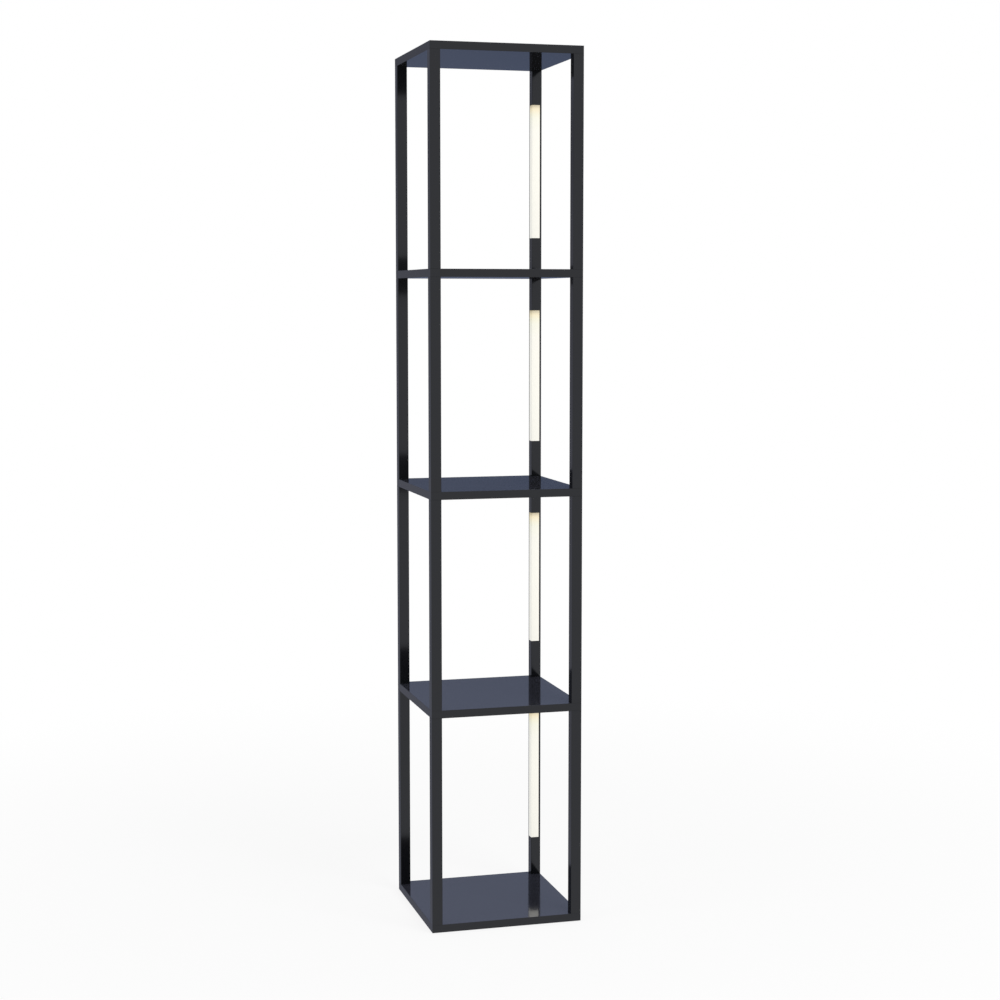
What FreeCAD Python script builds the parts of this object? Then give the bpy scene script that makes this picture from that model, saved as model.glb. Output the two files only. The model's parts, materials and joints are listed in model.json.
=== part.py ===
import FreeCAD, Part
import math
import os

# Shelf floor lamp. Origin on the floor under the middle of the lamp, +Z up, millimetres.
# The front faces -Y and the lit column stands at the rear right (+X, +Y).

# Boards, posts and tiers
board_width = 283.0
board_depth = 283.0
board_thickness = 14.5
post_side = 19.0
tier_clear_height = 382.0
tier_count = 4
edge_break = 0.5

# Light bars: length, how far each bar sits above the middle of its tier, and their walls
bar_length = 253.0
bar_rises = [10.0, 7.0, 4.0, -1.0]
post_wall = 3.5
diffuser_wall = 2.0
diffuser_corner_radius = 1.0
channel_wall = 1.2
channel_seat = 8.0
end_cap_thickness = 1.5
end_cap_hole_radius = 2.4
led_board_width = 8.0
led_board_thickness = 1.0
chip_pitch = 15.0
chip_width = 3.5
chip_height = 2.8
chip_thickness = 0.8
chip_end_distance = 18.0
connector_width = 7.0
connector_height = 8.0
connector_wall = 0.8

# Wiring
wire_radius = 0.7
wire_spacing = 2.2
wire_bore_radius = 3.0
wire_face_distance = 5.9
inlet_height = 35.0
inlet_radius = 4.0
inlet_length = 10.3
inlet_flange_radius = 5.5
inlet_flange_thickness = 1.5
inlet_socket_radius = 2.75
inlet_back_wall = 1.0
inlet_pin_radius = 1.0
inlet_pin_setback = 1.0
lug_thickness = 0.8
lug_width = 1.4

# Fasteners: M5 studs and bolts in threaded inserts, and dowels
stud_radius = 2.5
stud_engagement = 11.0
top_stud_engagement = 9.0
stud_hole_clearance = 0.2
thread_clearance = 0.05
insert_radius = 3.3
insert_length = 12.0
insert_hole_runout = 1.0
top_insert_length = 10.0
light_stud_face_distance = 6.7
bolt_head_radius = 4.25
bolt_head_height = 5.0
bolt_length = 20.0
washer_radius = 4.5
washer_thickness = 1.0
counterbore_depth = 7.0
counterbore_clearance = 0.3
hex_socket_width = 4.0
hex_socket_depth = 2.5
dowel_radius = 2.0
dowel_engagement = 8.0
dowel_face_distance = 4.2
dowel_clearance = 0.05
dowel_end_clearance = 0.5

# Foot pads
pad_radius = 8.0
pad_thickness = 1.5
pad_inset = 30.0

# Gap between pieces that slide into place
fit_clearance = 0.1

UP = FreeCAD.Vector(0, 0, 1)
REARWARD = FreeCAD.Vector(0, 1, 0)
CORNERS = {
    "front_left": (-1, -1),
    "front_right": (1, -1),
    "rear_left": (-1, 1),
    "light": (1, 1),
}
TIERS = range(1, tier_count + 1)


def board_underside(level):
    """Height of the underside of a board, counted from the base board at 0."""
    return pad_thickness + level * (board_thickness + tier_clear_height)


def post_foot(tier):
    return board_underside(tier - 1) + board_thickness


def post_head(tier):
    return post_foot(tier) + tier_clear_height


def bar_foot(tier):
    middle = post_foot(tier) + tier_clear_height / 2 + bar_rises[tier - 1]
    return middle - bar_length / 2


def bar_head(tier):
    return bar_foot(tier) + bar_length


def inset_point(corner, inset_x, inset_y, height):
    """Point at two distances in from the outer side faces of a corner."""
    side_x, side_y = CORNERS[corner]
    x = side_x * (board_width / 2 - inset_x)
    y = side_y * (board_depth / 2 - inset_y)
    return FreeCAD.Vector(x, y, height)


def stud_point(corner, height):
    inset = light_stud_face_distance if corner == "light" else post_side / 2
    return inset_point(corner, inset, inset, height)


def dowel_point(corner, height):
    """Beside the inner corner of a plain post, and beside the front right one of a light post."""
    inner = post_side - dowel_face_distance
    inset_x = dowel_face_distance if corner == "light" else inner
    return inset_point(corner, inset_x, inner, height)


def rod(radius, foot, height, direction=UP):
    return Part.makeCylinder(radius, height, foot, direction)


def tube(outer_radius, inner_radius, foot, height):
    return rod(outer_radius, foot, height).cut(rod(inner_radius, foot, height))


def box_between(low, high):
    size = high - low
    return Part.makeBox(size.x, size.y, size.z, low)


def post_prism(corner, insets, foot, head):
    """Upright prism over a polygon given as insets from the outer faces of a corner."""
    points = [inset_point(corner, inset_x, inset_y, foot) for inset_x, inset_y in insets]
    outline = Part.makePolygon(points + [points[0]])
    return Part.Face(outline).extrude(UP * (head - foot))


def diagonal_insets(start, stop, width):
    """Rectangle across a post's diagonal, between two distances from its outer corner."""
    insets = []
    for along, across in ((start, -1), (start, 1), (stop, 1), (stop, -1)):
        inset_x = (along + across * width / 2) / math.sqrt(2)
        inset_y = (along - across * width / 2) / math.sqrt(2)
        insets.append((inset_x, inset_y))
    return insets


def upright_edges(shape):
    return [edge for edge in shape.Edges if abs(edge.tangentAt(edge.FirstParameter).z) > 0.99]


def save(node, solids):
    """Write one node as a STEP file, as one solid or a group of separate solids."""
    shape = solids[0] if len(solids) == 1 else Part.makeCompound(solids)
    shape.exportStep(os.path.join("parts", node + ".step"))
    print(node, len(solids), "solids", round(shape.Volume), "mm3")


# Places along the diagonal of a light post, measured from its outer corner
seat_distance = (2 * (post_wall + channel_wall) + channel_seat) / math.sqrt(2)
led_face_distance = seat_distance + led_board_thickness
wire_distance = (post_side - wire_face_distance) * math.sqrt(2)


def wire_points(height):
    insets = diagonal_insets(wire_distance, wire_distance, wire_spacing)[:2]
    return [inset_point("light", inset_x, inset_y, height) for inset_x, inset_y in insets]


def wire_bore(foot, head):
    inset = post_side - wire_face_distance
    return rod(wire_bore_radius, inset_point("light", inset, inset, foot), head - foot)


# Boards -----------------------------------------------------------------------------------

def board_blank(level):
    low = inset_point("front_left", 0, 0, board_underside(level))
    high = inset_point("light", 0, 0, board_underside(level) + board_thickness)
    blank = box_between(low, high)
    return blank.makeFillet(edge_break, blank.Edges)


def make_shelf(level):
    """Shelf with through holes for the studs, the dowels and the leads."""
    underside = board_underside(level)
    shelf = board_blank(level)
    for corner in CORNERS:
        stud_hole = rod(stud_radius + stud_hole_clearance, stud_point(corner, underside), board_thickness)
        dowel_hole = rod(dowel_radius + dowel_clearance, dowel_point(corner, underside), board_thickness)
        shelf = shelf.cut(stud_hole).cut(dowel_hole)
    return shelf.cut(wire_bore(underside, underside + board_thickness))


def make_base_board():
    """Base board with counterbored bolt holes from below and blind dowel holes from above."""
    underside = board_underside(0)
    top = underside + board_thickness
    board = board_blank(0)
    dowel_hole_depth = dowel_engagement + dowel_end_clearance
    for corner in CORNERS:
        bolt_hole = rod(stud_radius + stud_hole_clearance, stud_point(corner, underside), board_thickness)
        counterbore = rod(washer_radius + counterbore_clearance, stud_point(corner, underside), counterbore_depth)
        dowel_foot = dowel_point(corner, top - dowel_hole_depth)
        dowel_hole = rod(dowel_radius + dowel_clearance, dowel_foot, dowel_hole_depth)
        board = board.cut(bolt_hole).cut(counterbore).cut(dowel_hole)
    return board


def make_top_board():
    """Top board with blind holes for inserts and dowels in its underside."""
    underside = board_underside(tier_count)
    board = board_blank(tier_count)
    for corner in CORNERS:
        insert_hole = rod(insert_radius, stud_point(corner, underside), top_insert_length + insert_hole_runout)
        dowel_hole = rod(
            dowel_radius + dowel_clearance,
            dowel_point(corner, underside),
            dowel_engagement + dowel_end_clearance,
        )
        board = board.cut(insert_hole).cut(dowel_hole)
    return board


# Posts ------------------------------------------------------------------------------------

def make_post(corner, tier):
    """Square post with an insert hole and a dowel hole in each end."""
    foot = post_foot(tier)
    head = post_head(tier)
    section = ((0, 0), (post_side, 0), (post_side, post_side), (0, post_side))
    post = post_prism(corner, section, foot, head)
    post = post.makeFillet(edge_break, upright_edges(post))
    insert_hole_depth = insert_length + insert_hole_runout
    dowel_hole_depth = dowel_engagement + dowel_end_clearance
    for insert_foot, dowel_foot in (
        (foot, foot),
        (head - insert_hole_depth, head - dowel_hole_depth),
    ):
        insert_hole = rod(insert_radius, stud_point(corner, insert_foot), insert_hole_depth)
        dowel_hole = rod(dowel_radius + dowel_clearance, dowel_point(corner, dowel_foot), dowel_hole_depth)
        post = post.cut(insert_hole).cut(dowel_hole)
    return post


def inlet_axis_point(inset_y):
    """Point on the axis of the power inlet, at a distance in from the rear face."""
    pin_side = wire_points(0)[0]
    x = pin_side.x + inlet_pin_radius / 2
    return FreeCAD.Vector(x, board_depth / 2 - inset_y, post_foot(1) + inlet_height)


def make_light_post(tier):
    """Post with a corner rebate for the light bar, and a bore for the leads."""
    post = make_post("light", tier)
    rebate = (
        (post_wall, post_wall),
        (post_side, post_wall),
        (post_side, post_side),
        (post_wall, post_side),
    )
    post = post.cut(post_prism("light", rebate, bar_foot(tier), bar_head(tier)))
    if tier == 1:
        post = post.cut(wire_bore(post_foot(tier) + inlet_height - inlet_radius, bar_foot(tier)))
        barrel_depth = max(inlet_length, post_side - wire_face_distance)
        barrel_hole = rod(inlet_radius, inlet_axis_point(barrel_depth), barrel_depth, REARWARD)
        flange_seat = inlet_axis_point(inlet_flange_thickness)
        flange_recess = rod(inlet_flange_radius, flange_seat, inlet_flange_thickness, REARWARD)
        post = post.cut(barrel_hole).cut(flange_recess)
    else:
        post = post.cut(wire_bore(post_foot(tier), bar_foot(tier)))
    if tier < tier_count:
        post = post.cut(wire_bore(bar_head(tier), post_head(tier)))
    return post


# Light bars -------------------------------------------------------------------------------

def make_channel(tier):
    """Aluminium corner channel with a diagonal seat for the LED board."""
    inner = post_wall + channel_wall
    leg_end = post_side - diffuser_wall - fit_clearance
    section = (
        (post_wall, post_wall),
        (leg_end, post_wall),
        (leg_end, inner),
        (inner + channel_seat, inner),
        (inner, inner + channel_seat),
        (inner, leg_end),
        (post_wall, leg_end),
    )
    return post_prism("light", section, bar_foot(tier), bar_head(tier))


def make_diffuser(tier):
    """Milky corner cover, flush with the front and left faces of the post."""
    wall_end = post_wall + fit_clearance
    inner = post_side - diffuser_wall
    section = (
        (wall_end, post_side),
        (wall_end, inner),
        (inner, inner),
        (inner, wall_end),
        (post_side, wall_end),
        (post_side, post_side),
    )
    foot = bar_foot(tier) + fit_clearance
    head = bar_head(tier) - fit_clearance
    cover = post_prism("light", section, foot, head)
    corner = inset_point("light", post_side, post_side, 0)
    outer_edge = [
        edge
        for edge in upright_edges(cover)
        if math.hypot(edge.CenterOfMass.x - corner.x, edge.CenterOfMass.y - corner.y) < fit_clearance
    ]
    return cover.makeFillet(diffuser_corner_radius, outer_edge)


def make_end_caps(tier):
    """Caps that close both ends of the space between channel and diffuser."""
    near = post_wall + channel_wall + fit_clearance
    far = post_side - diffuser_wall - fit_clearance
    seat = near + channel_seat
    section = ((near, far), (far, far), (far, near), (seat, near), (near, seat))
    caps = []
    for foot in (bar_foot(tier), bar_head(tier) - end_cap_thickness):
        inset = post_side - wire_face_distance
        hole = rod(end_cap_hole_radius, inset_point("light", inset, inset, foot), end_cap_thickness)
        cap = post_prism("light", section, foot, foot + end_cap_thickness)
        caps.append(cap.cut(hole))
    return caps


def make_led_board(tier):
    section = diagonal_insets(seat_distance, led_face_distance, led_board_width)
    foot = bar_foot(tier) + end_cap_thickness
    head = bar_head(tier) - end_cap_thickness
    return post_prism("light", section, foot, head)


def make_chips(tier):
    """LED chips along the board, spaced evenly about its middle."""
    section = diagonal_insets(led_face_distance, led_face_distance + chip_thickness, chip_width)
    gaps = int((bar_length - 2 * chip_end_distance) // chip_pitch)
    first = (bar_foot(tier) + bar_head(tier) - gaps * chip_pitch - chip_height) / 2
    chips = []
    for index in range(gaps + 1):
        foot = first + index * chip_pitch
        chips.append(post_prism("light", section, foot, foot + chip_height))
    return chips


def make_connector(foot):
    """Two-way connector on the face of an LED board, deep enough to take the wires."""
    far = wire_distance + wire_radius + connector_wall
    section = diagonal_insets(led_face_distance, far, connector_width)
    return post_prism("light", section, foot, foot + connector_height)


def make_connectors():
    connectors = []
    for tier in TIERS:
        connectors.append(make_connector(bar_foot(tier) + end_cap_thickness))
        if tier < tier_count:
            connectors.append(make_connector(bar_head(tier) - end_cap_thickness - connector_height))
    return connectors


# Wiring -----------------------------------------------------------------------------------

def make_lead(foot, head):
    """Pair of wires, straight up the bore."""
    return [rod(wire_radius, point, head - foot) for point in wire_points(foot)]


def make_inlet():
    """Power inlet, flush with the rear face, with a round socket."""
    barrel = rod(inlet_radius, inlet_axis_point(inlet_length), inlet_length, REARWARD)
    flange_seat = inlet_axis_point(inlet_flange_thickness)
    flange = rod(inlet_flange_radius, flange_seat, inlet_flange_thickness, REARWARD)
    socket_depth = inlet_length - inlet_back_wall
    socket = rod(inlet_socket_radius, inlet_axis_point(socket_depth), socket_depth, REARWARD)
    pin_hole = rod(inlet_pin_radius, inlet_axis_point(inlet_length), inlet_length, REARWARD)
    return barrel.fuse(flange).cut(socket).cut(pin_hole).removeSplitter()


def make_inlet_pin():
    """Centre pin, which runs through the back wall to the first wire."""
    wire = wire_points(0)[0]
    pin_end = board_depth / 2 - wire.y + wire_radius
    return rod(inlet_pin_radius, inlet_axis_point(pin_end), pin_end - inlet_pin_setback, REARWARD)


def make_inlet_lug():
    """Flat lug on the back of the inlet, which carries the second wire."""
    wire = wire_points(0)[1]
    top = inlet_axis_point(0).z + inlet_pin_radius
    low = FreeCAD.Vector(wire.x - lug_width / 2, wire.y - wire_radius, top - lug_thickness)
    high = FreeCAD.Vector(wire.x + lug_width / 2, inlet_axis_point(inlet_length).y, top)
    return box_between(low, high)


# Fasteners --------------------------------------------------------------------------------

def make_post_inserts():
    bore = stud_radius + thread_clearance
    inserts = []
    for tier in TIERS:
        for corner in CORNERS:
            for foot in (post_foot(tier), post_head(tier) - insert_length):
                inserts.append(tube(insert_radius, bore, stud_point(corner, foot), insert_length))
    return inserts


def make_top_inserts():
    bore = stud_radius + thread_clearance
    foot = board_underside(tier_count)
    return [tube(insert_radius, bore, stud_point(corner, foot), top_insert_length) for corner in CORNERS]


def make_joining_studs():
    length = board_thickness + 2 * stud_engagement
    studs = []
    for tier in TIERS[:-1]:
        foot = post_head(tier) - stud_engagement
        studs.extend(rod(stud_radius, stud_point(corner, foot), length) for corner in CORNERS)
    return studs


def make_top_studs():
    foot = board_underside(tier_count) - stud_engagement
    length = stud_engagement + top_stud_engagement
    return [rod(stud_radius, stud_point(corner, foot), length) for corner in CORNERS]


def washer_seat():
    """Height of the underside of a base washer, where the head of its bolt bears."""
    return board_underside(0) + counterbore_depth - washer_thickness


def make_base_bolt(corner):
    """Socket head bolt, driven up from below."""
    head_foot = stud_point(corner, washer_seat() - bolt_head_height)
    head = rod(bolt_head_radius, head_foot, bolt_head_height)
    shank = rod(stud_radius, stud_point(corner, washer_seat()), bolt_length)
    hex_radius = hex_socket_width / math.sqrt(3)
    hexagon = [
        head_foot + FreeCAD.Vector(hex_radius * math.cos(turn), hex_radius * math.sin(turn), 0)
        for turn in (math.radians(60 * side) for side in range(7))
    ]
    socket = Part.Face(Part.makePolygon(hexagon)).extrude(UP * hex_socket_depth)
    return head.fuse(shank).cut(socket)


def make_base_washer(corner):
    bore = stud_radius + stud_hole_clearance
    return tube(washer_radius, bore, stud_point(corner, washer_seat()), washer_thickness)


def make_long_dowels():
    """Dowels through each shelf into the posts below and above it."""
    length = board_thickness + 2 * dowel_engagement
    dowels = []
    for tier in TIERS[:-1]:
        foot = post_head(tier) - dowel_engagement
        dowels.extend(rod(dowel_radius, dowel_point(corner, foot), length) for corner in CORNERS)
    return dowels


def make_short_dowels():
    """Dowels between the base board and its posts, and between the top board and its posts."""
    dowels = []
    for joint in (post_foot(1), board_underside(tier_count)):
        foot = joint - dowel_engagement
        dowels.extend(rod(dowel_radius, dowel_point(corner, foot), 2 * dowel_engagement) for corner in CORNERS)
    return dowels


def make_foot_pads():
    return [rod(pad_radius, inset_point(corner, pad_inset, pad_inset, 0), pad_thickness) for corner in CORNERS]


# Write the nodes --------------------------------------------------------------------------

os.makedirs("parts", exist_ok=True)

save("base_board", [make_base_board()])
for level in TIERS[:-1]:
    save(f"shelf_{level}", [make_shelf(level)])
save("top_board", [make_top_board()])

for tier in TIERS:
    for corner in CORNERS:
        if corner != "light":
            save(f"{corner}_post_{tier}", [make_post(corner, tier)])
    save(f"light_post_{tier}", [make_light_post(tier)])
    save(f"light_channel_{tier}", [make_channel(tier)])
    save(f"light_diffuser_{tier}", [make_diffuser(tier)])
    save(f"light_end_caps_{tier}", make_end_caps(tier))
    save(f"led_board_{tier}", [make_led_board(tier)])
    save(f"led_chips_{tier}", make_chips(tier))
save("led_connectors", make_connectors())

save("inlet_lead", make_lead(inlet_axis_point(0).z + inlet_pin_radius, bar_foot(1) + end_cap_thickness))
for tier in TIERS[:-1]:
    lead_foot = bar_head(tier) - end_cap_thickness
    lead_head = bar_foot(tier + 1) + end_cap_thickness
    save(f"tier_lead_{tier}", make_lead(lead_foot, lead_head))
save("power_inlet", [make_inlet()])
save("inlet_pin", [make_inlet_pin()])
save("inlet_lug", [make_inlet_lug()])

save("post_inserts", make_post_inserts())
save("top_board_inserts", make_top_inserts())
save("joining_studs", make_joining_studs())
save("top_studs", make_top_studs())
save("base_bolts", [make_base_bolt(corner) for corner in CORNERS])
save("base_washers", [make_base_washer(corner) for corner in CORNERS])
save("long_dowels", make_long_dowels())
save("short_dowels", make_short_dowels())
save("foot_pads", make_foot_pads())
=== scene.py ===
import json
import math
import bmesh
import bpy
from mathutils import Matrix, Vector


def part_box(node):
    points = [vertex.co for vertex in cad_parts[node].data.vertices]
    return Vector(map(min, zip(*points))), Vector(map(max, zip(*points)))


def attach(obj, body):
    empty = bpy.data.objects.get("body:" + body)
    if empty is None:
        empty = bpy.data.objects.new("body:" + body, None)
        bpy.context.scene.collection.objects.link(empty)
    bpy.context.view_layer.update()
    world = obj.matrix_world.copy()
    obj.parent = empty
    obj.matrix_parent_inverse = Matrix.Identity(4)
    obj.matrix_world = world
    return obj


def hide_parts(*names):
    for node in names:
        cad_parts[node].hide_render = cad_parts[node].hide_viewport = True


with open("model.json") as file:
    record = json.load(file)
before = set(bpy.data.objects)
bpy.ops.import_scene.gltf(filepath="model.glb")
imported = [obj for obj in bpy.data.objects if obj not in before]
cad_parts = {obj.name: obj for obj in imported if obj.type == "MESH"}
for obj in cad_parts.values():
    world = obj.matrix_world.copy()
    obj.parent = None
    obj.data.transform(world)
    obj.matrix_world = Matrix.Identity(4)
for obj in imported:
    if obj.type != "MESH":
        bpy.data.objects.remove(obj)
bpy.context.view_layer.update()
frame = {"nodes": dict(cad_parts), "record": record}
print("frame loaded:", len(frame["nodes"]), "nodes")

scene = bpy.context.scene
scene.view_settings.view_transform = "Standard"
mm = 0.001
mergeDistance = 0.001 * mm
touching = 0.01 * mm   # places closer than this are the same place
creaseAngle = 35       # degrees that an edge turns by at least to stay sharp
white = (1, 1, 1, 1)

# Sockets of a Mix node that blends two colours
firstColour = 6
secondColour = 7
blended = 2


# An sRGB hex colour as the linear colour that a shader takes
def linear(hexColour, alpha=1.0):
    channels = []
    for start in (1, 3, 5):
        value = int(hexColour[start:start + 2], 16) / 255
        channels.append(value / 12.92 if value <= 0.04045 else ((value + 0.055) / 1.055) ** 2.4)
    return (*channels, alpha)


# Adds a node to a tree: settings are properties or input values, links are inputs fed by outputs
def addNode(tree, kind, settings=(), links=()):
    node = tree.nodes.new(kind)
    for name, value in dict(settings).items():
        if isinstance(name, int) or name in node.inputs:
            node.inputs[name].default_value = value
        else:
            setattr(node, name, value)
    for name, output in dict(links).items():
        tree.links.new(output, node.inputs[name])
    return node


# A new material with an empty tree, its object coordinates and its output
def startMaterial(name):
    material = bpy.data.materials.new(name)
    material.use_nodes = True
    tree = material.node_tree
    tree.nodes.clear()
    place = addNode(tree, "ShaderNodeTexCoord").outputs["Object"]
    output = addNode(tree, "ShaderNodeOutputMaterial")
    return material, tree, place, output


# 1 for a ray that comes from the camera, straight or through something clear, and 0 for others
def seenDirectly(tree, ray):
    seen = addNode(
        tree, "ShaderNodeMath", {"operation": "MAXIMUM"},
        {0: ray.outputs["Is Camera Ray"], 1: ray.outputs["Is Transmission Ray"]},
    )
    return seen.outputs[0]


# Camera
view = {
    "place": (-0.9548, -3.5569, 1.1493),  # m
    "turn": 15.40,                        # degrees from straight ahead towards the right
    "tilt": 5.417,                        # degrees down
    "lens": 71.16,                        # mm
    "sensor": 36,                         # mm
    "shiftY": -0.012,                     # share of the sensor
}


def placeCamera():
    cameraData = bpy.data.cameras.new("photoCamera")
    cameraData.sensor_width = view["sensor"]
    cameraData.lens = view["lens"]
    cameraData.shift_y = view["shiftY"]
    camera = bpy.data.objects.new("photoCamera", cameraData)
    camera.location = view["place"]
    camera.rotation_euler = (math.radians(90 - view["tilt"]), 0, math.radians(-view["turn"]))
    scene.collection.objects.link(camera)
    scene.camera = camera


# Studio: plain white behind the lamp, and a softer, uneven surround for its gloss to mirror
studio = {
    "ambient": 0.55,                   # soft light from all round on matt surfaces
    "front": (0.78, 0.80, 0.865),      # what gloss mirrors in front of the lamp
    "backRight": (0.10, 0.125, 0.20),  # and behind it, dimmer and cooler
    "backLeft": (0.215, 0.22, 0.265),
    "overhead": (0.60, 0.67, 0.92),
    "belowHorizon": 1.10,              # the back's strength below and above the horizon
    "aboveHorizon": 0.77,
    "secondMirror": 0.3,               # share of the surround that is left in a second mirroring
    "rightToLeft": (0.3, -0.3),        # where one passes into the other, by a direction's X
    "backToFront": (0.5, -0.6),        # by its Y
    "backToOverhead": (0.11, 0.55),    # by its Z
    "belowToAbove": (-0.05, 0.08),     # by its Z too, at the horizon
}


def makeStudio():
    world = bpy.data.worlds.new("softStudio")
    scene.world = world
    world.use_nodes = True
    world.cycles.sampling_method = "NONE"   # sampling can't tell one kind of ray from another
    tree = world.node_tree
    tree.nodes.clear()
    direction = addNode(tree, "ShaderNodeTexCoord").outputs["Generated"]
    axes = addNode(tree, "ShaderNodeSeparateXYZ", links={0: direction})
    ray = addNode(tree, "ShaderNodeLightPath")

    start, end = studio["rightToLeft"]
    towardsLeft = addNode(
        tree, "ShaderNodeMapRange", {"From Min": start, "From Max": end}, {"Value": axes.outputs["X"]},
    )
    start, end = studio["backToOverhead"]
    towardsTop = addNode(
        tree, "ShaderNodeMapRange", {"From Min": start, "From Max": end}, {"Value": axes.outputs["Z"]},
    )
    start, end = studio["backToFront"]
    towardsFront = addNode(
        tree, "ShaderNodeMapRange",
        {"interpolation_type": "SMOOTHSTEP", "From Min": start, "From Max": end},
        {"Value": axes.outputs["Y"]},
    )
    start, end = studio["belowToAbove"]
    level = addNode(
        tree, "ShaderNodeMapRange",
        {
            "From Min": start, "From Max": end,
            "To Min": studio["belowHorizon"], "To Max": studio["aboveHorizon"],
        },
        {"Value": axes.outputs["Z"]},
    )

    sides = addNode(
        tree, "ShaderNodeMix",
        {
            "data_type": "RGBA",
            firstColour: (*studio["backRight"], 1), secondColour: (*studio["backLeft"], 1),
        },
        {0: towardsLeft.outputs[0]},
    )
    back = addNode(
        tree, "ShaderNodeVectorMath", {"operation": "SCALE"},
        {0: sides.outputs[blended], "Scale": level.outputs[0]},
    )
    above = addNode(
        tree, "ShaderNodeMix", {"data_type": "RGBA", secondColour: (*studio["overhead"], 1)},
        {0: towardsTop.outputs[0], firstColour: back.outputs[0]},
    )
    around = addNode(
        tree, "ShaderNodeMix", {"data_type": "RGBA", secondColour: (*studio["front"], 1)},
        {0: towardsFront.outputs[0], firstColour: above.outputs[blended]},
    )
    afterTwo = addNode(
        tree, "ShaderNodeMapRange",
        {"From Min": 1.0, "From Max": 2.0, "To Min": 1.0, "To Max": studio["secondMirror"]},
        {"Value": ray.outputs["Glossy Depth"]},
    )

    ambient = addNode(tree, "ShaderNodeBackground", {"Color": white, "Strength": studio["ambient"]})
    mirrored = addNode(
        tree, "ShaderNodeBackground",
        links={"Color": around.outputs[blended], "Strength": afterTwo.outputs[0]},
    )
    plainWhite = addNode(tree, "ShaderNodeBackground", {"Color": white, "Strength": 1.0})
    unseen = addNode(
        tree, "ShaderNodeMixShader",
        links={0: ray.outputs["Is Glossy Ray"], 1: ambient.outputs[0], 2: mirrored.outputs[0]},
    )
    whole = addNode(
        tree, "ShaderNodeMixShader",
        links={0: seenDirectly(tree, ray), 1: unseen.outputs[0], 2: plainWhite.outputs[0]},
    )
    addNode(tree, "ShaderNodeOutputWorld", links={"Surface": whole.outputs[0]})


# Two soft studio lights, which the gloss doesn't show. Places and sizes are in m, power in W
lights = {
    "keyLamp": {"place": (1.6, -3.4, 3.0), "aim": (0, 0, 0.8), "size": 2.4, "power": 95},
    "fillLamp": {"place": (-3.2, -1.2, 2.4), "aim": (0, 0, 0.8), "size": 2.0, "power": 20},
}


def placeLights():
    for name, light in lights.items():
        lightData = bpy.data.lights.new(name, "AREA")
        lightData.size = light["size"]
        lightData.energy = light["power"]
        lightObject = bpy.data.objects.new(name, lightData)
        lightObject.location = light["place"]
        direction = Vector(light["aim"]) - Vector(light["place"])
        lightObject.rotation_euler = direction.to_track_quat("-Z", "Y").to_euler()
        lightObject.visible_camera = False
        lightObject.visible_glossy = False
        scene.collection.objects.link(lightObject)


# Pale matt studio floor: white to the eye, with the lamp's soft shadow kept in its matt part
floorPaint = {
    "colours": ("#f7f7f7", "#fbfbfb"),
    "grit": 3.0,         # mm
    "radius": 3.0,       # m
    "sides": 96,
    "glow": 0.86,        # share of plain white near the lamp, where the rest is matt
    "fade": (0.5, 2.2),  # m from the middle, where the matt part fades so that no rim shows
}


def floorFinish():
    material, tree, place, output = startMaterial("paleStudioFloor")
    ray = addNode(tree, "ShaderNodeLightPath")
    grit = addNode(
        tree, "ShaderNodeTexNoise", {"Scale": 1 / (floorPaint["grit"] * mm), "Detail": 2.0},
        {"Vector": place},
    )
    dark, light = floorPaint["colours"]
    paint = addNode(
        tree, "ShaderNodeMix",
        {"data_type": "RGBA", firstColour: linear(dark), secondColour: linear(light)},
        {0: grit.outputs["Fac"]},
    )
    matt = addNode(tree, "ShaderNodeBsdfDiffuse", links={"Color": paint.outputs[blended]})
    glow = addNode(tree, "ShaderNodeEmission", {"Color": white, "Strength": 1.0})
    seen = seenDirectly(tree, ray)
    fromMiddle = addNode(tree, "ShaderNodeVectorMath", {"operation": "LENGTH"}, {0: place})
    start, end = floorPaint["fade"]
    fade = addNode(
        tree, "ShaderNodeMapRange",
        {
            "interpolation_type": "SMOOTHSTEP",
            "From Min": start, "From Max": end, "To Min": floorPaint["glow"], "To Max": 1.0,
        },
        {"Value": fromMiddle.outputs["Value"]},
    )
    share = addNode(tree, "ShaderNodeMath", {"operation": "MULTIPLY"}, {0: seen, 1: fade.outputs[0]})
    surface = addNode(
        tree, "ShaderNodeMixShader", links={0: share.outputs[0], 1: matt.outputs[0], 2: glow.outputs[0]},
    )
    fromBelow = addNode(tree, "ShaderNodeNewGeometry").outputs["Backfacing"]
    clear = addNode(tree, "ShaderNodeBsdfTransparent")
    oneSided = addNode(
        tree, "ShaderNodeMixShader", links={0: fromBelow, 1: surface.outputs[0], 2: clear.outputs[0]},
    )
    tree.links.new(oneSided.outputs[0], output.inputs["Surface"])
    return material


def makeFloor():
    bm = bmesh.new()
    bmesh.ops.create_circle(
        bm, cap_ends=True, segments=floorPaint["sides"], radius=floorPaint["radius"],
    )
    mesh = bpy.data.meshes.new("studioFloor")
    bm.to_mesh(mesh)
    bm.free()
    mesh.materials.append(floorFinish())
    floor = bpy.data.objects.new("studioFloor", mesh)
    floor.visible_glossy = False
    scene.collection.objects.link(floor)


placeCamera()
makeStudio()
placeLights()
makeFloor()
print("camera, studio and floor made")

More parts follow.
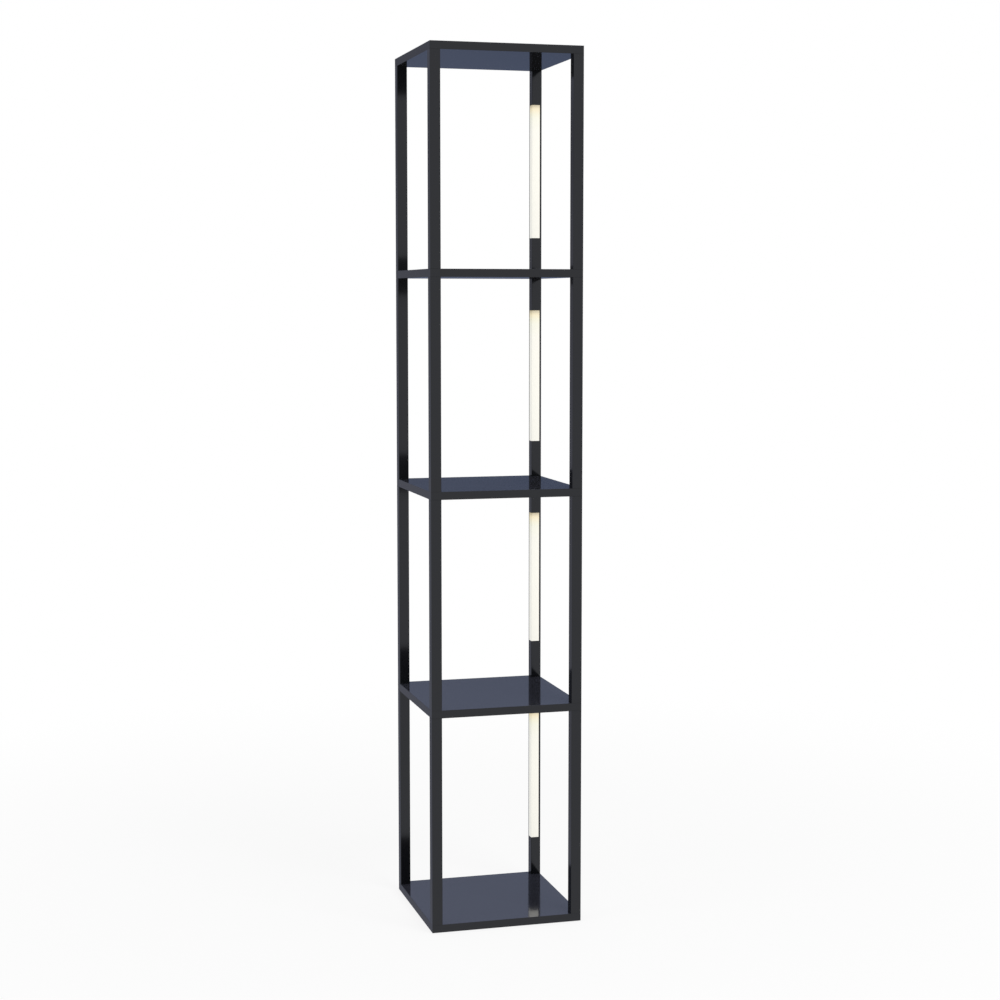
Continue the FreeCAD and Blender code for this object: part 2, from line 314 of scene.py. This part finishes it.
# Black polyurethane lacquer sprayed on MDF: near black and glossy, with a faint orange peel and
# a trace of haze that keeps the reflections from being perfect. What lies level gets a painted
# sheen, a pale bluish veil laid like a thin film of dust. The posts mirror as if their faces were
# a little crowned, which draws out the dark reflections of the boards at both ends of a post
lacquer = {
    "dark": "#07080a",
    "light": "#0a0b0e",
    "ior": 1.5,
    "boardRoughness": (0.06, 0.10),
    "postRoughness": (0.11, 0.15),
    "peel": 2.4,                  # mm from bump to bump
    "peelHeight": 0.004,          # mm
    "haze": 140.0,                # mm across a patch
    "hazeSpan": (0.3, 0.7),       # values of the haze that give the least and most roughness
    "crown": 6.4,                 # mm from the middle of a post to its ends
    # The painted sheen on level faces: its pale bluish colour and how much of it covers them
    "paintedSheenColour": "#8d90a8",
    "paintedSheenShare": (0.07, 0.10),
    "paintedSheenGrain": 1.6,             # mm, the dust-like grain of the painted sheen, coarser than real dust so that it shows
    "paintedSheenSpan": (0.35, 0.65),     # values of the grain that give the least and most painted sheen
    "level": (0.7, 0.98),         # upward part of a face's normal, from no painted sheen to all of it
}


# Lays a painted sheen, grained like a thin film of dust, over a colour wherever a face lies level
def paintedSheenOver(tree, place, colour):
    grain = addNode(
        tree, "ShaderNodeTexNoise", {"Scale": 1 / (lacquer["paintedSheenGrain"] * mm), "Detail": 4.0},
        {"Vector": place},
    )
    start, end = lacquer["paintedSheenSpan"]
    thin, thick = lacquer["paintedSheenShare"]
    paintedSheenFilm = addNode(
        tree, "ShaderNodeMapRange",
        {"From Min": start, "From Max": end, "To Min": thin, "To Max": thick},
        {"Value": grain.outputs["Fac"]},
    )
    facing = addNode(tree, "ShaderNodeNewGeometry").outputs["True Normal"]
    upward = addNode(tree, "ShaderNodeSeparateXYZ", links={0: facing}).outputs["Z"]
    start, end = lacquer["level"]
    level = addNode(tree, "ShaderNodeMapRange", {"From Min": start, "From Max": end}, {"Value": upward})
    paintedSheenMask = addNode(
        tree, "ShaderNodeMath", {"operation": "MULTIPLY"}, {0: paintedSheenFilm.outputs[0], 1: level.outputs[0]},
    )
    sheenedColour = addNode(
        tree, "ShaderNodeMix", {"data_type": "RGBA", secondColour: linear(lacquer["paintedSheenColour"])},
        {0: paintedSheenMask.outputs[0], firstColour: colour},
    )
    return sheenedColour.outputs[blended]


# The normal of a face that falls away from the middle of each post towards both its ends
def crownNormal(tree, place):
    foot, head = (corner.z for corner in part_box("front_left_post_1"))
    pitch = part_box("front_left_post_2")[0].z - foot
    height = addNode(tree, "ShaderNodeSeparateXYZ", links={0: place}).outputs["Z"]
    rise = addNode(tree, "ShaderNodeMath", {"operation": "SUBTRACT", 1: foot}, {0: height})
    within = addNode(
        tree, "ShaderNodeMath", {"operation": "WRAP", 1: pitch, 2: 0.0}, {0: rise.outputs[0]},
    )
    along = addNode(
        tree, "ShaderNodeMapRange", {"From Max": head - foot, "To Min": -1.0, "To Max": 1.0},
        {"Value": within.outputs[0]},
    )
    fall = addNode(
        tree, "ShaderNodeMath", {"operation": "MULTIPLY"}, {0: along.outputs[0], 1: along.outputs[0]},
    )
    crown = addNode(
        tree, "ShaderNodeBump", {"invert": True, "Strength": 1.0, "Distance": lacquer["crown"] * mm},
        {"Height": fall.outputs[0]},
    )
    return crown.outputs[0]


def lacquerFinish(name, roughness, withPaintedSheen, crowned):
    material, tree, place, output = startMaterial(name)
    haze = addNode(
        tree, "ShaderNodeTexNoise", {"Scale": 1 / (lacquer["haze"] * mm), "Detail": 3.0},
        {"Vector": place},
    )
    depth = addNode(
        tree, "ShaderNodeMix",
        {
            "data_type": "RGBA",
            firstColour: linear(lacquer["dark"]), secondColour: linear(lacquer["light"]),
        },
        {0: haze.outputs["Fac"]},
    )
    colour = depth.outputs[blended]
    # Level faces get a pale bluish painted sheen
    if withPaintedSheen:
        colour = paintedSheenOver(tree, place, colour)
    start, end = lacquer["hazeSpan"]
    least, most = roughness
    sheen = addNode(
        tree, "ShaderNodeMapRange",
        {"From Min": start, "From Max": end, "To Min": least, "To Max": most},
        {"Value": haze.outputs["Fac"]},
    )
    peel = addNode(
        tree, "ShaderNodeTexNoise", {"Scale": 1 / (lacquer["peel"] * mm), "Detail": 1.0},
        {"Vector": place},
    )
    bump = addNode(
        tree, "ShaderNodeBump", {"Strength": 1.0, "Distance": lacquer["peelHeight"] * mm},
        {"Height": peel.outputs["Fac"]},
    )
    if crowned:
        tree.links.new(crownNormal(tree, place), bump.inputs["Normal"])
    shader = addNode(
        tree, "ShaderNodeBsdfPrincipled", {"IOR": lacquer["ior"]},
        {"Base Color": colour, "Roughness": sheen.outputs[0], "Normal": bump.outputs[0]},
    )
    tree.links.new(shader.outputs[0], output.inputs["Surface"])
    return material


# Extruded opal acrylic, lit from inside: milky and even, with a warmer, dimmer end at the top
opal = {
    "body": ("#9a958c", "#a29d94"),
    "cloud": 6.0,   # mm
    "roughness": 0.32,
    "ior": 1.49,
    "glow": 0.69,
    "stops": (      # mm below the top end, and the colour of the glow there
        (0.0, (0.40, 0.33, 0.16)),
        (3.5, (0.62, 0.53, 0.32)),
        (7.0, (0.88, 0.76, 0.47)),
        (11.0, (0.95, 0.85, 0.58)),
        (18.0, (0.92, 0.90, 0.70)),
        (26.0, (0.92, 0.93, 0.80)),
        (50.0, (0.945, 0.945, 0.88)),
    ),
}


def opalFinish():
    material, tree, place, output = startMaterial("opalAcrylicCover")
    along = addNode(
        tree, "ShaderNodeAttribute", {"attribute_type": "GEOMETRY", "attribute_name": "belowTop"},
    )
    reach = opal["stops"][-1][0]
    share = addNode(
        tree, "ShaderNodeMath", {"operation": "DIVIDE", 1: reach * mm, "use_clamp": True},
        {0: along.outputs["Fac"]},
    )
    ramp = addNode(tree, "ShaderNodeValToRGB", links={"Fac": share.outputs[0]})
    stops = ramp.color_ramp.elements   # a new ramp has two
    for index, (distance, colour) in enumerate(opal["stops"]):
        stop = stops[index] if index < 2 else stops.new(1.0)
        stop.position = distance / reach
        stop.color = (*colour, 1)
    cloud = addNode(
        tree, "ShaderNodeTexNoise", {"Scale": 1 / (opal["cloud"] * mm), "Detail": 3.0},
        {"Vector": place},
    )
    dark, light = opal["body"]
    body = addNode(
        tree, "ShaderNodeMix",
        {"data_type": "RGBA", firstColour: linear(dark), secondColour: linear(light)},
        {0: cloud.outputs["Fac"]},
    )
    shader = addNode(
        tree, "ShaderNodeBsdfPrincipled",
        {"IOR": opal["ior"], "Roughness": opal["roughness"], "Emission Strength": opal["glow"]},
        {"Base Color": body.outputs[blended], "Emission Color": ramp.outputs["Color"]},
    )
    tree.links.new(shader.outputs[0], output.inputs["Surface"])
    return material


# The parts inside, by slot. Grain is the size of the pattern along X, Y and Z and height that of
# its bumps, both in mm
inside = {
    "channel": {   # satin grey, with fine lines along its length
        "name": "anodisedAluminiumChannel", "colours": ("#c4c6c9", "#d2d4d6"),
        "roughness": 0.42, "metal": 1.0, "grain": (0.25, 0.25, 12.0), "height": 0.002,
    },
    "end_cap": {   # off white and matt, finely textured by the mould
        "name": "mouldedAbsCap", "colours": ("#e3e2de", "#ebeae6"),
        "roughness": 0.5, "metal": 0.0, "grain": (0.3, 0.3, 0.3), "height": 0.01,
    },
    "circuit_board": {   # bright white with a slight shine
        "name": "whiteSolderMask", "colours": ("#e9e9e4", "#f1f1ee"),
        "roughness": 0.35, "metal": 0.0, "grain": (0.8, 0.8, 2.0), "height": 0.01,
    },
    "led_chip": {   # yellow and shiny
        "name": "phosphorOverLedDie", "colours": ("#e8c552", "#f2d976"),
        "roughness": 0.25, "metal": 0.0, "grain": (0.2, 0.2, 0.2), "height": 0.01,
    },
    "connector": {   # ivory, with a waxy shine
        "name": "mouldedNylonConnector", "colours": ("#e0dccd", "#e8e4d8"),
        "roughness": 0.45, "metal": 0.0, "grain": (0.3, 0.3, 0.3), "height": 0.01,
    },
    "wire": {   # soft black, with faint marks along its length
        "name": "pvcWireJacket", "colours": ("#1b1b1c", "#242425"),
        "roughness": 0.45, "metal": 0.0, "grain": (0.4, 0.4, 3.0), "height": 0.01,
    },
    "inlet_body": {   # black and satin, finely textured by the mould
        "name": "mouldedPbtInlet", "colours": ("#141415", "#1c1c1d"),
        "roughness": 0.4, "metal": 0.0, "grain": (0.25, 0.25, 0.25), "height": 0.01,
    },
    "contact": {   # warm silver, nearly a mirror
        "name": "nickelPlatedContact", "colours": ("#cfc9b8", "#dcd7c8"),
        "roughness": 0.2, "metal": 1.0, "grain": (0.3, 3.0, 0.3), "height": 0.003,
    },
    "insert": {   # yellow metal, with the rings that turning leaves
        "name": "turnedBrassInsert", "colours": ("#c9a85c", "#d8bb74"),
        "roughness": 0.3, "metal": 1.0, "grain": (4.0, 4.0, 0.4), "height": 0.02,
    },
    "steel": {   # cool grey, slightly mottled
        "name": "zincPlatedSteel", "colours": ("#b4b8bd", "#c8ccd0"),
        "roughness": 0.34, "metal": 1.0, "grain": (1.5, 1.5, 0.8), "height": 0.01,
    },
    "dowel": {   # pale wood, with streaks along its length
        "name": "bareBeech", "colours": ("#c39a68", "#d9b68a"),
        "roughness": 0.6, "metal": 0.0, "grain": (0.5, 0.5, 9.0), "height": 0.03,
    },
    "pad": {   # dull black, slightly pebbled
        "name": "mouldedRubberPad", "colours": ("#1d1d1e", "#262627"),
        "roughness": 0.7, "metal": 0.0, "grain": (0.6, 0.6, 0.6), "height": 0.04,
    },
}


def insideFinish(finish):
    material, tree, place, output = startMaterial(finish["name"])
    stretch = addNode(
        tree, "ShaderNodeMapping", {"Scale": tuple(1 / (size * mm) for size in finish["grain"])},
        {"Vector": place},
    )
    grain = addNode(
        tree, "ShaderNodeTexNoise", {"Scale": 1.0, "Detail": 3.0}, {"Vector": stretch.outputs[0]},
    )
    dark, light = finish["colours"]
    colour = addNode(
        tree, "ShaderNodeMix",
        {"data_type": "RGBA", firstColour: linear(dark), secondColour: linear(light)},
        {0: grain.outputs["Fac"]},
    )
    bump = addNode(
        tree, "ShaderNodeBump", {"Strength": 1.0, "Distance": finish["height"] * mm},
        {"Height": grain.outputs["Fac"]},
    )
    shader = addNode(
        tree, "ShaderNodeBsdfPrincipled",
        {"Metallic": finish["metal"], "Roughness": finish["roughness"]},
        {"Base Color": colour.outputs[blended], "Normal": bump.outputs[0]},
    )
    tree.links.new(shader.outputs[0], output.inputs["Surface"])
    return material


finishes = {
    # The boards get the painted sheen on their level faces; the posts get none
    "lacquered_board": lacquerFinish(
        "sprayedBlackLacquerBoard", lacquer["boardRoughness"], withPaintedSheen=True, crowned=False,
    ),
    "lacquered_post": lacquerFinish(
        "sprayedBlackLacquerPost", lacquer["postRoughness"], withPaintedSheen=False, crowned=True,
    ),
    "diffuser": opalFinish(),
}
for slotName, finish in inside.items():
    finishes[slotName] = insideFinish(finish)

# Every part of the frame takes the finish of its slot
for part in frame["record"]["subparts"]:
    for holder in frame["nodes"][part["node"]].material_slots:
        holder.material = finishes[part["material_slot"]]
print("finishes made:", len(finishes))


# Puts a bmesh in the scene as a piece that stands for CAD nodes
def addPiece(name, bm, slotName, *nodes):
    mesh = bpy.data.meshes.new(name)
    bm.to_mesh(mesh)
    bm.free()
    mesh.materials.append(finishes[slotName])
    piece = bpy.data.objects.new(name, mesh)
    scene.collection.objects.link(piece)
    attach(piece, "root")
    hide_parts(*nodes)
    return piece


# Extrudes faces that lie level, straight up
def extrudeUp(bm, faces, rise):
    raised = bmesh.ops.extrude_face_region(bm, geom=faces)
    moved = [item for item in raised["geom"] if isinstance(item, bmesh.types.BMVert)]
    bmesh.ops.translate(bm, vec=(0, 0, rise), verts=moved)
    bmesh.ops.recalc_face_normals(bm, faces=bm.faces)


# The edges of a closed bmesh that turn by more than an angle in degrees
def edgesOver(bm, angle):
    return [edge for edge in bm.edges if edge.is_manifold and edge.calc_face_angle() > math.radians(angle)]


# Rounds edges by an offset in mm, or cuts them to a flat where there is one segment
def bevelEdges(bm, edges, offset, segments):
    bmesh.ops.bevel(
        bm, geom=edges, offset=offset * mm, segments=segments, profile=0.5,
        affect="EDGES", material=-1,
    )


# Smooths a bmesh but for its creases
def shadeByAngle(bm):
    for face in bm.faces:
        face.smooth = True
    for edge in bm.edges:
        edge.smooth = edge.is_manifold and edge.calc_face_angle() < math.radians(creaseAngle)


# Light covers: corner strips that close the front and the left side of each light bar
cover = {
    "wall": 2.0,           # mm
    "cornerRadius": 1.0,   # mm, the long outer corner
    "cornerSegments": 5,
    "edgeRadius": 0.25,    # mm, all other edges
    "edgeSegments": 2,
    "edgeAngle": 40,       # degrees that an edge turns by at least to be rounded
}


def makeCover(tier, node):
    low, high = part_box(node)
    wall = cover["wall"] * mm
    bm = bmesh.new()
    outline = (
        (high.x, low.y), (high.x, low.y + wall), (low.x + wall, low.y + wall),
        (low.x + wall, high.y), (low.x, high.y), (low.x, low.y),
    )
    foot = bm.faces.new([bm.verts.new((x, y, low.z)) for x, y in outline])
    extrudeUp(bm, [foot], high.z - low.z)
    outer = [
        edge for edge in bm.edges
        if all((vert.co.xy - low.xy).length < touching for vert in edge.verts)
    ]
    bevelEdges(bm, outer, cover["cornerRadius"], cover["cornerSegments"])
    bevelEdges(bm, edgesOver(bm, cover["edgeAngle"]), cover["edgeRadius"], cover["edgeSegments"])
    for face in bm.faces:
        face.smooth = True
    piece = addPiece(f"opalCover{tier}", bm, "diffuser", node)
    belowTop = piece.data.attributes.new("belowTop", "FLOAT", "POINT")
    for vert in piece.data.vertices:
        belowTop.data[vert.index].value = high.z - vert.co.z


coverNodes = sorted(node for node in frame["nodes"] if node.startswith("light_diffuser_"))
for tier, node in enumerate(coverNodes, start=1):
    makeCover(tier, node)
print("light covers made:", len(coverNodes))

# Power inlet: a moulded barrel socket with a rounded flange and a lead-in at its mouth
inlet = {
    "flange": 5.5,       # mm, radii
    "barrel": 4.0,
    "socket": 2.75,
    "pin": 1.0,
    "flangeDepth": 1.5,  # mm in from the flange's outer face
    "barrelDepth": 10.3,
    "backWall": 1.0,     # mm, thickness of the wall that the socket ends at
    "flangeRound": 0.3,  # mm, edges
    "leadIn": 0.4,
    "pinRound": 0.35,
    "roundSegments": 4,
    "steps": 64,
    "pinSteps": 32,
}


# Turns a profile about an axis along Y. The profile is pairs of a radius and a distance in from
# the outer end, in mm. One that starts on the axis also ends on it, and any other is closed
def turnProfile(bm, profile, centre, steps):
    points = [
        bm.verts.new((centre.x + radius * mm, centre.y - depth * mm, centre.z))
        for radius, depth in profile
    ]
    edges = [bm.edges.new(pair) for pair in zip(points, points[1:])]
    if profile[0][0] > 0:
        edges.append(bm.edges.new((points[-1], points[0])))
    bmesh.ops.spin(
        bm, geom=points + edges, cent=centre, axis=(0, 1, 0), angle=math.tau, steps=steps,
        use_merge=True,
    )
    bmesh.ops.remove_doubles(bm, verts=bm.verts, dist=mergeDistance)
    bmesh.ops.recalc_face_normals(bm, faces=bm.faces)


# The edges of the circle with a radius in mm on a turned shape's outer end
def endCircle(bm, centre, radius):
    circle = []
    for edge in bm.edges:
        spokes = [vert.co - centre for vert in edge.verts]
        onEnd = all(abs(spoke.y) < touching for spoke in spokes)
        onCircle = all(abs(spoke.xz.length - radius * mm) < touching for spoke in spokes)
        if onEnd and onCircle:
            circle.append(edge)
    return circle


def makeInlet():
    low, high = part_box("power_inlet")
    centre = Vector(((low.x + high.x) / 2, high.y, (low.z + high.z) / 2))
    socketDepth = inlet["barrelDepth"] - inlet["backWall"]
    bm = bmesh.new()
    turnProfile(bm, (
        (inlet["pin"], inlet["barrelDepth"]), (inlet["pin"], socketDepth),
        (inlet["socket"], socketDepth), (inlet["socket"], 0.0),
        (inlet["flange"], 0.0), (inlet["flange"], inlet["flangeDepth"]),
        (inlet["barrel"], inlet["flangeDepth"]), (inlet["barrel"], inlet["barrelDepth"]),
    ), centre, inlet["steps"])
    rim = endCircle(bm, centre, inlet["flange"])
    bevelEdges(bm, rim, inlet["flangeRound"], inlet["roundSegments"])
    mouth = endCircle(bm, centre, inlet["socket"])
    bevelEdges(bm, mouth, inlet["leadIn"], 1)
    shadeByAngle(bm)
    addPiece("barrelInlet", bm, "inlet_body", "power_inlet")

    low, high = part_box("inlet_pin")
    centre.y = high.y
    length = (high.y - low.y) / mm
    bm = bmesh.new()
    turnProfile(bm, (
        (0.0, 0.0), (inlet["pin"], 0.0), (inlet["pin"], length), (0.0, length),
    ), centre, inlet["pinSteps"])
    tip = endCircle(bm, centre, inlet["pin"])
    bevelEdges(bm, tip, inlet["pinRound"], inlet["roundSegments"])
    shadeByAngle(bm)
    addPiece("inletPin", bm, "contact", "inlet_pin")


makeInlet()
print("power inlet made")

# Foot pads: discs of rubber with a soft rim
feet = {
    "radius": 8.0,     # mm
    "rim": 0.45,       # mm, rounding of both edges
    "rimSegments": 4,
    "rimAngle": 60,    # degrees that an edge turns by at least to be rounded
    "sides": 64,
}


def makeFeet():
    low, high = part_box("foot_pads")
    radius = feet["radius"] * mm
    inset = high.x - radius   # the pads stand at the corners of a square about the middle
    bm = bmesh.new()
    for x in (-inset, inset):
        for y in (-inset, inset):
            disc = bmesh.ops.create_circle(bm, cap_ends=True, segments=feet["sides"], radius=radius)
            bmesh.ops.translate(bm, vec=(x, y, low.z), verts=disc["verts"])
    extrudeUp(bm, list(bm.faces), high.z - low.z)
    bevelEdges(bm, edgesOver(bm, feet["rimAngle"]), feet["rim"], feet["rimSegments"])
    shadeByAngle(bm)
    addPiece("rubberFeet", bm, "pad", "foot_pads")


makeFeet()
print("foot pads made")
